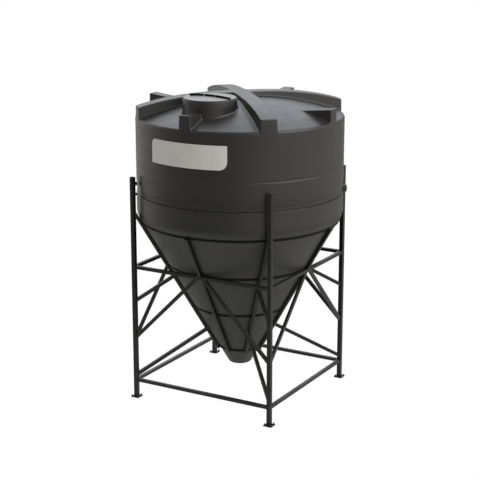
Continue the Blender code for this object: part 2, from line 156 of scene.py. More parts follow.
class Edge:
    """The rounding of a surface f(r) into the upright wall at r = R."""

    def __init__(self, f, radius):
        self.f, self.rc = f, radius
        slope = (f(R) - f(R - 0.002)) / 0.002
        a = math.atan(-slope)
        self.start = R - radius * (1.0 - math.sin(a))
        self.zc = f(self.start) - radius * math.cos(a)

    def drop(self, r):
        if r <= self.start:
            return 0.0
        e = min(r, R) - (R - self.rc)
        return self.f(r) - (self.zc + math.sqrt(max(0.0, self.rc ** 2 - e * e)))


ROOF_EDGE = Edge(roof_z, 0.036)
STRAP_EDGE = Edge(strap_z, 0.013)
LUG_EDGE = Edge(lug_z, 0.013)


def drawn_in(r):
    """How far the outlines draw in as they near the wall, for round corners."""
    e = r - (R - SIDE_R)
    if e <= 0.0:
        return 0.0
    return SIDE_R - math.sqrt(max(0.0, SIDE_R ** 2 - min(e, SIDE_R) ** 2))


C0 = HALF_STRAP + CROSS_FILLET


def strap_side(a, b, r):
    if a < C0 and b < C0:
        s = CROSS_FILLET - math.hypot(C0 - a, C0 - b)
    else:
        s = min(a, b) - HALF_STRAP
    return s + drawn_in(r)


def rise(s, h):
    """Height over the roof, h high inside and 0 outside, at s past the outline."""
    if h <= 0.0:
        return 0.0
    k = min(1.0, h / (TOP_R + BASE_R + 0.006))
    rt, rb = TOP_R * k, BASE_R * k
    if s <= -TOP_R:
        return h
    if s <= 0.0:
        return h - rt * (1.0 - math.sqrt(max(0.0, 1.0 - ((s + TOP_R) / TOP_R) ** 2)))
    if s <= DRAFT:
        return (h - rt) + (rb - (h - rt)) * s / DRAFT
    if s <= DRAFT + BASE_R:
        return rb * (1.0 - math.sqrt(max(0.0, 1.0 - ((DRAFT + BASE_R - s) / BASE_R) ** 2)))
    return 0.0


def height(a, b):
    """The outer skin's z at a plan point of a quarter."""
    r = min(math.hypot(a, b), R)
    low = roof_z(r) - ROOF_EDGE.drop(r)
    z = low
    z += rise(strap_side(a, b, r), strap_z(r) - STRAP_EDGE.drop(r) - low)
    t, w = (a + b) / math.sqrt(2.0), abs(a - b) / math.sqrt(2.0)
    if t > 0.74 and w < HALF_LUG + 0.06:
        d = lug_z(t) - LUG_EDGE.drop(r) - low
        d = 0.5 * (d + math.sqrt(d * d + 0.006 ** 2)) - 0.00008
        z += rise(w - HALF_LUG + drawn_in(r), d)
    return z


def roof_at(x, y):
    """The outer skin's z at any plan point."""
    az = math.degrees(math.atan2(y, x)) % 360.0
    k = int(((az + 45.0) % 360.0) // 90.0)
    ea = (cosd(90 * k - 45), sind(90 * k - 45))
    eb = (cosd(90 * k + 45), sind(90 * k + 45))
    return height(x * ea[0] + y * ea[1], x * eb[0] + y * eb[1])


def quarter():
    """Points and triangles of one quarter in plan, denser along every rounding."""
    offs = [-TOP_R - 0.005]
    offs += [-TOP_R * (1.0 - sind(q)) for q in (0, 22.5, 45, 67.5, 90)]
    offs += [DRAFT + BASE_R * (1.0 - sind(q)) for q in (90, 67.5, 45, 22.5, 0)]
    offs += [DRAFT + BASE_R + 0.006]
    rims = [R - 0.034]
    rims += [R - v for v in (0.026, 0.020, 0.0150, 0.0130, 0.0105, 0.0082, 0.0060, 0.0042,
                             0.0026, 0.0014, 0.0006, 0.0002, 0.0)]
    pts, index, edges = [], {}, set()

    def put(a, b):
        key = (round(a, 6), round(b, 6))
        if key not in index:
            index[key] = len(pts)
            pts.append((a, b))
        return index[key]

    def join(ids):
        for i, j in zip(ids, ids[1:]):
            if i != j:
                edges.add((min(i, j), max(i, j)))

    marks = {rho: [] for rho in rims}

    def leg_radii(first, step):
        n = max(2, int((rims[0] - first) / step))
        return [first + (rims[0] - first) * i / n for i in range(n)] + rims

    for c in offs:
        # strap side: out along one strap, round the crossing, out along the other
        first = math.hypot(HALF_STRAP + c, C0)
        legs = []
        for r in leg_radii(first, 0.022):
            a = HALF_STRAP + c - drawn_in(r)
            b = C0 if r == first else math.sqrt(r * r - a * a)
            legs.append((a, b, r))
        ids = [put(a, b) for a, b, _ in legs]
        join(ids)
        ids2 = [put(b, a) for a, b, _ in legs]
        join(ids2)
        for (a, b, r), i, j in zip(legs, ids, ids2):
            if r in marks:
                marks[r].append((math.atan2(b, a), i))
                marks[r].append((math.atan2(a, b), j))
        n = 10
        rad = CROSS_FILLET - c
        arc = [ids[0]]
        for i in range(1, n):
            q = 180.0 + 90.0 * i / n
            arc.append(put(C0 + rad * cosd(q), C0 + rad * sind(q)))
        arc.append(ids2[0])
        join(arc)
        # lug sides
        for hand in (1.0, -1.0):
            ids = []
            for r in leg_radii(0.80, 0.018):
                w = HALF_LUG + c - drawn_in(r)
                t = math.sqrt(r * r - w * w)
                a, b = (t - hand * w) / math.sqrt(2.0), (t + hand * w) / math.sqrt(2.0)
                i = put(a, b)
                ids.append(i)
                if r in marks:
                    marks[r].append((math.atan2(b, a), i))
            join(ids)
    # middle lines of the straps, shared by neighbouring quarters
    for flip in (0, 1):
        ids = [put(0.0, 0.0)]
        for r in [0.024 * i for i in range(1, 49)] + rims:
            i = put(0.0, r) if flip else put(r, 0.0)
            ids.append(i)
            if r in marks:
                marks[r].append((math.pi / 2 if flip else 0.0, i))
        join(ids)
    # rim circles
    for rho in rims:
        taken = sorted(marks[rho])
        angles = [q for q, _ in taken]
        for i in range(1, 80):
            q = math.pi / 2 * i / 80
            if min(abs(q - s) for s in angles) > math.radians(0.35):
                taken.append((q, put(rho * math.cos(q), rho * math.sin(q))))
        taken.sort()
        join([i for _, i in taken])
    # open surface
    step = 0.030
    n = int(R / step) + 1
    for i in range(1, n):
        for j in range(1, n):
            a, b = step * i + (0.5 * step if j % 2 else 0.0), step * j * 0.97
            r = math.hypot(a, b)
            if r > rims[0] - 0.016 or a < 0.012 or b < 0.012:
                continue
            s = strap_side(a, b, r)
            t, w = (a + b) / math.sqrt(2.0), abs(a - b) / math.sqrt(2.0)
            if offs[0] - 0.010 < s < offs[-1] + 0.010:
                continue
            if t > 0.785 and offs[0] - 0.010 < w - HALF_LUG < offs[-1] + 0.010:
                continue
            put(a, b)
    out = delaunay_2d_cdt([Vector(p) for p in pts], sorted(edges), [], 0, 1e-7, False)
    return out[0], out[2]


def turned_rows(bm, rows, azimuths, close=True):
    """Quads between rings of vertices, one ring for each (r, z) of rows."""
    made = []
    for r, z in rows:
        made.append([bm.verts.new((r * math.cos(q), r * math.sin(q), z)) for q in azimuths])
    n = len(azimuths)
    for top, low in zip(made, made[1:]):
        for i in range(n if close else n - 1):
            j = (i + 1) % n
            bm.faces.new((top[i], low[i], low[j], top[j]))
    return made


def tank_rows():
    """Outer wall and cone from under the roof down to the outlet."""
    rows = [(R, z) for z in (SKIRT_Z, 3.20, 3.08, 2.96, 2.865)]
    # upper seam: a shallow groove with round lips
    for i in range(9):
        q = math.pi * 2.0 * i / 8 - math.pi
        rows.append((R - 0.0020 * (1.0 + math.cos(q)), 2.8445 - 0.0250 * i / 8))
    rows += [(R, z) for z in (2.795, 2.72, 2.675)]
    # waist: draws in over a hand's length to a narrow band, and ends on a ledge
    for i in range(17):
        z = 2.665 - 0.125 * i / 16
        rows.append((R - 0.0100 * ((2.665 - z) / 0.125) ** 2.2, z))
    for z, d in ((2.5375, 0.01040), (2.5350, 0.01070), (2.5320, 0.01090), (2.5280, 0.01100),
                 (2.5160, 0.01105), (2.5042, 0.01115), (2.5030, 0.01200), (2.5020, 0.01450),
                 (2.5005, 0.01650), (2.4970, 0.01700), (2.4940, 0.01650), (2.4926, 0.01500),
                 (2.4921, 0.01200), (2.4920, 0.00400)):
        rows.append((R - d, z))
    for q in (0, 30, 60, 90):
        rows.append((R - 0.0010 + 0.0010 * sind(q), 2.4908 + 0.0010 * cosd(q)))
    rows += [(R, z) for z in (2.470, 2.430, 2.38, 2.33)]
    junction = cone_z(R, SKIN_OFF)
    t = KNUCKLE_R * math.tan(math.radians(15.0))
    for i in range(9):
        q = -30.0 * i / 8
        rows.append((R - KNUCKLE_R + KNUCKLE_R * cosd(q), junction + t + KNUCKLE_R * sind(q)))
    z = rows[-1][1]
    n = 16
    tip_r0 = cone_r(TIP_Z, SKIN_OFF)
    corner = 0.035
    tt = corner * math.tan(math.radians(30.0))
    z_end = TIP_Z + corner - corner * sind(30.0)
    for i in range(1, n):
        zz = z + (z_end - z) * i / n
        rows.append((cone_r(zz, SKIN_OFF), zz))
    for i in range(9):
        q = -30.0 - 60.0 * i / 8
        rows.append((tip_r0 - tt + corner * cosd(q), TIP_Z + corner + corner * sind(q)))
    rows += [(OUTLET_R + 0.010, TIP_Z), (OUTLET_R + 0.003, TIP_Z),
             (OUTLET_R + 0.0009, TIP_Z + 0.0009), (OUTLET_R, TIP_Z + 0.003),
             (OUTLET_R, TIP_Z + 0.011)]
    # inner skin, back up to the dome
    rows += [(0.060, TIP_Z + 0.012), (tip_r0 - 0.035, TIP_Z + 0.016)]
    for zz in (0.42, 0.8, 1.3, 1.8, 2.16):
        rows.append((cone_r(zz, SKIN_OFF - 0.011), zz))
    rows += [(R - 0.0185, 2.245), (R - 0.014, 2.31), (R - 0.025, 2.44), (R - 0.025, 2.56), (R - 0.020, 2.60), (R - 0.012, 2.66),
             (R - 0.012, 3.30), (R - 0.016, 3.345)]
    for r in (1.17, 1.05, 0.90, 0.75, 0.60, 0.45, 0.30, 0.16, 0.06):
        rows.append((r, roof_z(r) - 0.013))
    return rows


def moulding_mesh(name):
    flat, tris = quarter()
    flat = [(p[0], p[1]) for p in flat]
    zs = [height(a, b) for a, b in flat]
    bm = bmesh.new()
    for k in range(4):
        ea = (cosd(90 * k - 45), sind(90 * k - 45))
        eb = (cosd(90 * k + 45), sind(90 * k + 45))
        vs = [bm.verts.new((a * ea[0] + b * eb[0], a * ea[1] + b * eb[1], z))
              for (a, b), z in zip(flat, zs)]
        for tri in tris:
            bm.faces.new([vs[i] for i in tri])
    bmesh.ops.remove_doubles(bm, verts=bm.verts, dist=2e-6)
    rim = [v for v in bm.verts if any(len(e.link_faces) == 1 for e in v.link_edges)]
    rim.sort(key=lambda v: math.atan2(v.co.y, v.co.x))
    az = [math.atan2(v.co.y, v.co.x) for v in rim]
    rows = tank_rows()
    made = turned_rows(bm, rows, az)
    n = len(az)
    for i in range(n):
        j = (i + 1) % n
        bm.faces.new((rim[i], made[0][i], made[0][j], rim[j]))
    apex = bm.verts.new((0.0, 0.0, roof_z(0.0) - 0.013))
    for i in range(n):
        bm.faces.new((made[-1][i], apex, made[-1][(i + 1) % n]))
    return mesh_of(name, bm, sharp=50.0)

# ---------------------------------------------------------------- manway

NECK_OUT = 0.3102
NECK_FILLET = 0.017


def lathe_at(bm, profile, cx, cy, n, cap_first=False, cap_last=False, loop=False):
    """Rings for (r, z) turned about an upright axis; r = 0 becomes one point."""
    rings = []
    for r, z in profile:
        if r < 1e-7:
            rings.append([bm.verts.new((cx, cy, z))])
        else:
            rings.append([bm.verts.new((cx + r * math.cos(TAU * i / n),
                                        cy + r * math.sin(TAU * i / n), z)) for i in range(n)])
    pairs = list(zip(rings, rings[1:]))
    if loop:
        pairs.append((rings[-1], rings[0]))
    for p, q in pairs:
        for i in range(n):
            j = (i + 1) % n
            if len(p) == 1 and len(q) == 1:
                continue
            if len(p) == 1:
                bm.faces.new((p[0], q[i], q[j]))
            elif len(q) == 1:
                bm.faces.new((p[i], q[0], p[j]))
            else:
                bm.faces.new((p[i], q[i], q[j], p[j]))
    if cap_first:
        bm.faces.new(rings[0])
    if cap_last:
        bm.faces.new(list(reversed(rings[-1])))
    return rings


def neck_mesh(name):
    """The collar under the lid, with a fillet that follows the roof under it."""
    n = 432
    bm = bmesh.new()
    inside, thread = 0.270, 0.2845
    rings = []

    def ring(f):
        vs = []
        for i in range(n):
            q = TAU * i / n
            r, z = f(math.cos(q), math.sin(q))
            vs.append(bm.verts.new((r * math.cos(q), MAN_Y + r * math.sin(q), z)))
        rings.append(vs)

    ring(lambda c, s: (inside, roof_at(inside * c, MAN_Y + inside * s) - 0.012))
    ring(lambda c, s: (inside, 3.662))
    ring(lambda c, s: (inside + 0.002, 3.664))
    ring(lambda c, s: (thread - 0.002, 3.664))
    ring(lambda c, s: (thread, 3.662))
    ring(lambda c, s: (thread, LID_BASE - 0.0006))
    ring(lambda c, s: (NECK_OUT, LID_BASE - 0.0006))
    r_end = NECK_OUT + NECK_FILLET

    def skirt(share):
        def f(c, s):
            foot = roof_at(r_end * c, MAN_Y + r_end * s) + NECK_FILLET
            foot = max(foot, roof_at(NECK_OUT * c, MAN_Y + NECK_OUT * s) + NECK_FILLET)
            foot = min(foot, LID_BASE - 0.006)
            return NECK_OUT, LID_BASE - 0.0006 + (foot - LID_BASE + 0.0006) * share
        return f

    for share in (0.25, 0.5, 0.75):
        ring(skirt(share))
    for q in (0, 15, 30, 45, 60, 75, 90):
        r = r_end - NECK_FILLET * cosd(q)
        up = NECK_FILLET * (1.0 - sind(q))
        ring(lambda c, s, r=r, up=up: (r, min(roof_at(r * c, MAN_Y + r * s) + up - 0.0002,
                                              LID_BASE - 0.005)))
    ring(lambda c, s: (r_end + 0.003, roof_at((r_end + 0.003) * c, MAN_Y + (r_end + 0.003) * s) - 0.004))
    ring(lambda c, s: (inside + 0.010, roof_at((inside + 0.01) * c, MAN_Y + (inside + 0.01) * s) - 0.012))
    for p, q in list(zip(rings, rings[1:])) + [(rings[-1], rings[0])]:
        for i in range(n):
            j = (i + 1) % n
            bm.faces.new((p[i], q[i], q[j], p[j]))
    return mesh_of(name, bm, sharp=50.0)


def lid_mesh(name):
    """Cap with a flat top and a step down its skirt."""
    n = 192
    edge_r, edge = LID_DISC_R, 0.0022
    bm = bmesh.new()
    rows = [(0.0, LID_TOP)] + [(r, LID_TOP) for r in (0.05, 0.11, 0.17, 0.23, 0.27)]
    rows += [(edge_r - edge + edge * sind(q), LID_TOP - edge + edge * cosd(q)) for q in (0, 22.5, 45, 67.5, 90)]
    rows += [(edge_r + 0.0002, LID_SHOULDER + 0.0015), (edge_r + 0.0006, LID_SHOULDER + 0.0004),
             (edge_r + 0.0016, LID_SHOULDER)]
    turn = 0.0045                     # round top of the skirt
    rows += [(LID_R - 0.0045 - turn + turn * sind(q), LID_SHOULDER - turn + turn * cosd(q))
             for q in (0, 22.5, 45, 67.5, 90)]
    rows += [(LID_R - 0.0032, LID_SHOULDER - 0.020), (LID_R - 0.0016, LID_BASE + 0.030), (LID_R, LID_BASE),
             (0.2865, LID_BASE), (0.2856, LID_BASE + 0.001), (0.2856, LID_TOP - 0.019),
             (0.10, LID_TOP - 0.019), (0.0, LID_TOP - 0.019)]
    lathe_at(bm, rows, 0.0, MAN_Y, n)
    for f in bm.faces:
        if min(v.co.z for v in f.verts) > LID_TOP - 0.0006:
            f.material_index = 1
    return mesh_of(name, bm, sharp=38.0)


# grip ribs on the lid: a line across it, in the lid's plan seen square to the view
# (across, away), and where each of the three ribs starts and ends along it
RIB_LINE = ((-0.245, 0.1203), (-0.196, 0.1233), (-0.147, 0.1182), (-0.098, 0.1052),
            (-0.049, 0.0841), (0.000, 0.0550), (0.049, 0.0179), (0.098, -0.0272),
            (0.147, -0.0803), (0.196, -0.1415), (0.245, -0.2106))
LID_RIBS = ((-0.2325, -0.0700), (-0.0620, 0.0535), (0.0610, 0.2330))
LID_RIB_H = 0.0225
LID_RIB_HALF = 0.0065


def rib_at(s):
    """Plan point on the ribs' line and the line's direction there."""
    def away(v):
        for (a, p), (b, q) in zip(RIB_LINE, RIB_LINE[1:]):
            if a <= v <= b:
                return p + (q - p) * (v - a) / (b - a)
        return RIB_LINE[0][1] if v < RIB_LINE[0][0] else RIB_LINE[-1][1]
    def soft(v):
        return sum(away(v + d) for d in (-0.02, -0.01, 0.0, 0.01, 0.02)) / 5.0
    def plan(v):
        t = soft(v)
        return Vector((v * cosd(30) - t * sind(30), MAN_Y + v * sind(30) + t * cosd(30), 0.0))
    p = plan(s)
    return p, (plan(s + 0.002) - plan(s - 0.002)).normalized()


def lid_ribs_mesh(name):
    """Three upright ribs in one bowed line across the lid, to turn it by."""
    bm = bmesh.new()
    for s0, s1 in LID_RIBS:
        n = max(10, int((s1 - s0) / 0.007))
        stations = [(s0, 0.55, 0.0030), (s0 + 0.0009, 0.86, 0.0010), (s0 + 0.0030, 1.0, 0.0)]
        stations += [(s0 + 0.003 + (s1 - s0 - 0.006) * i / n, 1.0, 0.0) for i in range(1, n)]
        stations += [(s1 - 0.0030, 1.0, 0.0), (s1 - 0.0009, 0.86, 0.0010), (s1, 0.55, 0.0030)]
        rings = []
        for s, share, less in stations:
            p, d = rib_at(s)
            side = Vector((-d.y, d.x, 0.0))
            w, top, r = LID_RIB_HALF * share, LID_TOP + LID_RIB_H - less, 0.0030 * share
            outline = [(-w - 0.0006, LID_TOP - 0.0010), (-w, LID_TOP + 0.0016)]
            outline += [(-w + r - r * cosd(q), top - r + r * sind(q)) for q in (0, 30, 60, 90)]
            outline += [(w - r + r * sind(q), top - r + r * cosd(q)) for q in (0, 30, 60, 90)]
            outline += [(w, LID_TOP + 0.0016), (w + 0.0006, LID_TOP - 0.0010)]
            rings.append([bm.verts.new(p + side * u + Z * z) for u, z in outline])
        k = len(rings[0])
        for a, b in zip(rings, rings[1:]):
            for i in range(k):
                j = (i + 1) % k
                bm.faces.new((a[i], a[j], b[j], b[i]))
        bm.faces.new(list(reversed(rings[0])))
        bm.faces.new(rings[-1])
    return mesh_of(name, bm, sharp=40.0)


# ---------------------------------------------------------------- label

LABEL_AZ = (-113.6, -66.6)
LABEL_Z = (2.972, 3.246)


def label_mesh(name):
    """A bare sheet bent to the wall, with one corner rounded and one well rounded."""
    inner, outer = R + 0.0008, R + 0.0033
    half = math.radians(LABEL_AZ[1] - LABEL_AZ[0]) / 2.0 * outer
    mid = math.radians(sum(LABEL_AZ) / 2.0)
    corners = {("left", "top"): 0.068, ("right", "low"): 0.092,
               ("left", "low"): 0.004, ("right", "top"): 0.004}
    us = {-half, half}
    for i in range(57):
        us.add(-half + 2.0 * half * i / 56)
    for (side, _), rad in corners.items():
        for i in range(13):
            d = rad * (1.0 - cosd(90.0 * i / 12))
            us.add(-half + d if side == "left" else half - d)
    us = sorted(us)
    keep = [us[0]]
    for u in us[1:]:
        if u - keep[-1] > 0.00008:
            keep.append(u)
    us = keep

    def cut(u, level):
        side = "left" if u < 0 else "right"
        rad = corners[(side, level)]
        d = half - abs(u)
        return rad - math.sqrt(max(0.0, rad * rad - (rad - d) ** 2)) if d < rad else 0.0

    bm = bmesh.new()
    bev = 0.0009
    cols = []
    for u in us:
        lo = LABEL_Z[0] + cut(u, "low")
        hi = LABEL_Z[1] - cut(u, "top")
        col = []
        shrink = min(half - abs(u), bev)
        uu = u
        for r, z in ((inner, lo), (outer - bev, lo), (outer, lo + bev), (outer, lo + 0.3 * (hi - lo)),
                     (outer, lo + 0.7 * (hi - lo)), (outer, hi - bev), (outer - bev, hi), (inner, hi)):
            q = mid + uu / outer
            rr = r
            if half - abs(u) < bev and r == outer:
                rr = outer - bev + shrink
            col.append(bm.verts.new((rr * math.cos(q), rr * math.sin(q), z)))
        cols.append(col)
    m = len(cols[0])
    for p, q in zip(cols, cols[1:]):
        for i in range(m):
            j = (i + 1) % m
            bm.faces.new((p[i], p[j], q[j], q[i]))
    bm.faces.new(cols[0])
    bm.faces.new(list(reversed(cols[-1])))
    return mesh_of(name, bm, sharp=30.0)


# ---------------------------------------------------------------- steel bars


def rounded_box(w, d, rad, n=4):
    """Section points (u, v), anticlockwise, with one at the middle of each side."""
    out = []
    for k in range(4):
        c, s = cosd(90 * k), sind(90 * k)
        g, h = (w / 2.0, d / 2.0) if k % 2 == 0 else (d / 2.0, w / 2.0)
        local = [(g, 0.0)] + [(g - rad + rad * cosd(90.0 * i / n), h - rad + rad * sind(90.0 * i / n))
                              for i in range(n + 1)]
        out += [(x * c - y * s, x * s + y * c) for x, y in local]
    return out


def rounded_square(w, rad, n=4):
    return rounded_box(w, w, rad, n)


def reach(point, along, planes, first):
    """Distance from point, along a direction, to where it meets the planes."""
    hits = []
    for p, nrm in planes:
        k = along.dot(nrm)
        hits.append((p - point).dot(nrm) / k)
    return max(hits) if first else min(hits)


def bar(bm, mid, along, across, w, d, low_cut, high_cut):
    """A box section through mid, w wide across and d deep square to that, cut at
    each end where it meets its neighbours. A cut is a list of (point, normal);
    returns the two end loops."""
    along = along.normalized()
    u = across.normalized()
    v = along.cross(u)
    lows, highs = [], []
    for x, y in rounded_box(w, d, CORNER_R):
        p = mid + u * x + v * y
        lows.append(p + along * reach(p, along, low_cut, False))
        highs.append(p + along * reach(p, along, high_cut, True))
    a = [bm.verts.new(p) for p in lows]
    b = [bm.verts.new(p) for p in highs]
    n = len(a)
    for i in range(n):
        j = (i + 1) % n
        bm.faces.new((a[i], a[j], b[j], b[i]))
    bm.faces.new(list(reversed(a)))
    bm.faces.new(b)
    return lows, highs


beads = []                # closed loops of points that carry a weld


def turned_by(deg):
    return Matrix.Rotation(math.radians(deg), 3, "Z")


SIDES = {"front": 0.0, "right": 90.0, "back": 180.0, "left": 270.0}
CORNERS = {"front_right": -45.0, "back_right": 45.0, "back_left": 135.0, "front_left": 225.0}


def placed(points, rot):
    return [rot @ p for p in points]


def make_bar(name, args, deg, weld_low=True, weld_high=True):
    """One bar drawn on the front side, or on the back right corner, and turned."""
    bm = bmesh.new()
    lows, highs = bar(bm, *args)
    rot = turned_by(deg)
    bm.transform(rot.to_4x4())
    if weld_low:
        beads.append(placed(lows, rot))
    if weld_high:
        beads.append(placed(highs, rot))
    mesh = mesh_of(name, bm, sharp=40.0)
    return mesh


def build_frame_meshes():
    """Name -> mesh for every bar; the names are the frame's own with _steel added."""
    made = {}
    sink = 0.0004
    # rails: drawn on the front side, from post to post
    for level, z in (("bottom", BOTTOM_RAIL_Z), ("middle", MIDDLE_RAIL_Z)):
        for side, deg in SIDES.items():
            args = (Vector((0, -POST_AT, z)), X, Y, RAIL_W, RAIL_W,
                    [(Vector((-INNER - sink, 0, 0)), X)], [(Vector((INNER + sink, 0, 0)), X)])
            name = level + "_rail_" + side
            made[name] = make_bar(name + "_steel", args, deg)
    # braces: an upside-down V on each side
    under = MIDDLE_RAIL_Z - RAIL_W / 2.0 + sink
    for side, deg in SIDES.items():
        for hand, sx in (("right", 1.0), ("left", -1.0)):
            top = Vector((sx * (POST_AT - (under - BRACE_FOOT_Z)), -POST_AT, under))
            low = Vector((sx * POST_AT, -POST_AT, BRACE_FOOT_Z))
            args = (0.5 * (top + low), top - low, Y, BRACE_D, BRACE_W,
                    [(Vector((sx * (INNER + sink), 0, 0)), X)], [(Vector((0, 0, under)), Z)])
            name = "brace_" + side + "_" + hand
            made[name] = make_bar(name + "_steel", args, deg)
    # ribs and struts are drawn in the plane of X and Z and turned to their corner
    up_cone = Vector((math.cos(CONE), 0, math.sin(CONE)))
    off_cone = Vector((math.sin(CONE), 0, -math.cos(CONE)))
    on_line = Vector((RIB_LINE_R, 0, RIB_LINE_Z))
    rib_mid = on_line + off_cone * (RIB_W / 2.0)
    foot_z = RING_Z["cone_ring_bottom"] - 0.5 * RING_H * math.sin(CONE)
    foot_point = on_line + up_cone * ((foot_z - RIB_LINE_Z) / math.sin(CONE))
    head_z = RING_Z["cone_ring_top"] - 0.5 * RING_H * math.sin(CONE) - 0.0006
    face_a = Vector((1, 1, 0)).normalized()
    face_b = Vector((1, -1, 0)).normalized()
    corner = Vector((INNER * math.sqrt(2.0), 0, 0))
    post_faces = [(corner + face_a * sink, face_a), (corner + face_b * sink, face_b)]
    for where, deg in CORNERS.items():
        args = (rib_mid, up_cone, Y, RIB_W, RIB_W, [(foot_point, up_cone)], post_faces)
        name = "cone_rib_" + where
        made[name] = make_bar(name + "_steel", args, deg, weld_low=False)
        for level, z in (("upper", UPPER_STRUT_Z), ("lower", LOWER_STRUT_Z)):
            along = Vector((cosd(30), 0, -sind(30)))        # down and out to the post
            mid = Vector((POST_AT * math.sqrt(2.0), 0, z)) - along * 0.3
            rib_face = on_line + off_cone * RIB_W
            args = (mid, along, Y, RAIL_W, RAIL_W, [(rib_face - off_cone * sink, off_cone)], post_faces)
            name = level + "_strut_" + where
            made[name] = make_bar(name + "_steel", args, deg)
    for side, deg in SIDES.items():
        args = (rib_mid, up_cone, Y, RIB_W, RIB_W, [(foot_point, up_cone)],
                [(Vector((0, 0, head_z)), Z)])
        name = "cone_rib_" + side
        made[name] = make_bar(name + "_steel", args, deg - 90.0, weld_low=False)
    return made


def post_mesh(name, sx, sy):
    """Square tube, open at the top, on a base plate with rounded corners."""
    bm = bmesh.new()
    cx, cy = sx * POST_AT, sy * POST_AT
    tube = rounded_square(POST_W, CORNER_R)
    bore = rounded_square(POST_W - 0.006, 0.0012)
    rings = []
    for pts, z in ((tube, PLATE_T - 0.001), (tube, POST_TOP - 0.0006),
                   ([(x * 0.990, y * 0.990) for x, y in tube], POST_TOP),
                   ([(x * 1.010, y * 1.010) for x, y in bore], POST_TOP),
                   (bore, POST_TOP - 0.0006), (bore, POST_TOP - 0.160)):
        rings.append([bm.verts.new((cx + x, cy + y, z)) for x, y in pts])
    n = len(tube)
    for p, q in zip(rings, rings[1:]):
        for i in range(n):
            j = (i + 1) % n
            bm.faces.new((p[i], p[j], q[j], q[i]))
    bm.faces.new(list(reversed(rings[0])))
    bm.faces.new(rings[-1])
    # base plate
    rings = []
    full = rounded_square(PLATE_W, 0.004)
    less = rounded_square(PLATE_W - 0.0016, 0.0034)
    for pts, z in ((less, 0.0), (full, 0.0008), (full, PLATE_T - 0.0010), (less, PLATE_T)):
        rings.append([bm.verts.new((cx + x, cy + y, z)) for x, y in pts])
    for p, q in zip(rings, rings[1:]):
        for i in range(n):
            j = (i + 1) % n
            bm.faces.new((p[i], p[j], q[j], q[i]))
    bm.faces.new(list(reversed(rings[0])))
    bm.faces.new(rings[-1])
    beads.append([Vector((cx + x, cy + y, PLATE_T)) for x, y in tube])
    return mesh_of(name, bm, sharp=40.0)


def hoop_mesh(name, z):
    """Rolled flat bar round the cone, let into the ribs, with softened edges."""
    bm = bmesh.new()
    n = 192
    along = Vector((math.cos(CONE), math.sin(CONE)))      # in radius and Z
    off = Vector((math.sin(CONE), -math.cos(CONE)))
    mid = Vector((cone_r(z, RING_T / 2.0 - 0.0003), z))
    h, t, b = RING_H / 2.0, RING_T / 2.0, 0.0018
    outline = []
    for k, (sa, so) in enumerate(((1, 1), (-1, 1), (-1, -1), (1, -1))):
        corner = [(sa * h, so * (t - b)), (sa * (h - 0.3 * b), so * (t - 0.3 * b)), (sa * (h - b), so * t)]
        outline += corner if k % 2 == 0 else corner[::-1]
    rings = []
    for i in range(n):
        q = TAU * i / n
        ring = []
        for a, o in outline:
            p = mid + along * a + off * o
            ring.append(bm.verts.new((p.x * math.cos(q), p.x * math.sin(q), p.y)))
        rings.append(ring)
    m = len(outline)
    for i in range(n):
        p, q = rings[i], rings[(i + 1) % n]
        for k in range(m):
            j = (k + 1) % m
            bm.faces.new((p[k], p[j], q[j], q[k]))
    return mesh_of(name, bm, sharp=40.0)


def bead_tube(bm, loop, rad, step=0.0045, closed=True):
    """A rippled weld bead along a loop of points."""
    pts = []
    n = len(loop)
    count = n if closed else n - 1
    for i in range(count):
        a, b = loop[i], loop[(i + 1) % n]
        d = (b - a).length
        if d < 1e-6:
            continue
        k = max(1, int(round(d / step)))
        pts += [a.lerp(b, j / k) for j in range(k)]
    if not closed:
        pts.append(loop[-1])
    m = len(pts)
    rings = []
    for i, p in enumerate(pts):
        if closed:
            d = (pts[(i + 1) % m] - pts[i - 1])
        else:
            d = pts[min(i + 1, m - 1)] - pts[max(i - 1, 0)]
        d.normalize()
        side = d.cross(Z) if abs(d.z) < 0.9 else d.cross(X)
        side.normalize()
        up = side.cross(d)
        r = rad * (1.0 + (0.13 if i % 2 else -0.10) + 0.08 * math.sin(i * 1.7))
        rings.append([bm.verts.new(p + side * (r * cosd(60 * k)) + up * (r * sind(60 * k)))
                      for k in range(6)])
    for i in range(m if closed else m - 1):
        p, q = rings[i], rings[(i + 1) % m]
        for k in range(6):
            j = (k + 1) % 6
            bm.faces.new((p[k], p[j], q[j], q[k]))
    if not closed:
        bm.faces.new(rings[0])
        bm.faces.new(list(reversed(rings[-1])))


# ---------------------------------------------------------------- fasteners


def turned_piece(bm, profile, at, axis, n=32, sides=None):
    """Rings of (r, h) along an axis through at; a profile may be many-sided."""
    axis = axis.normalized()
    u = axis.cross(Z) if abs(axis.z) < 0.9 else axis.cross(X)
    u.normalize()
    v = axis.cross(u)
    k = sides or n
    rings = []
    for r, h in profile:
        c = at + axis * h
        if r < 1e-6:
            rings.append([bm.verts.new(c)])
        else:
            rings.append([bm.verts.new(c + u * (r * math.cos(TAU * i / k)) + v * (r * math.sin(TAU * i / k)))
                          for i in range(k)])
    for p, q in zip(rings, rings[1:]):
        for i in range(k):
            j = (i + 1) % k
            if len(p) == 1:
                bm.faces.new((p[0], q[i], q[j]))
            elif len(q) == 1:
                bm.faces.new((p[i], q[0], p[j]))
            else:
                bm.faces.new((p[i], q[i], q[j], p[j]))
    if len(rings[0]) > 1:
        bm.faces.new(rings[0])
    if len(rings[-1]) > 1:
        bm.faces.new(list(reversed(rings[-1])))


def hex_nut(bm, at, axis, af, h):
    """Hexagon with chamfered ends, standing on at."""
    rc = af / 2.0 / cosd(30)
    turned_piece(bm, [(rc * 0.90, 0.0), (rc, 0.0012), (rc, h - 0.0018), (rc * 0.88, h)], at, axis, sides=6)


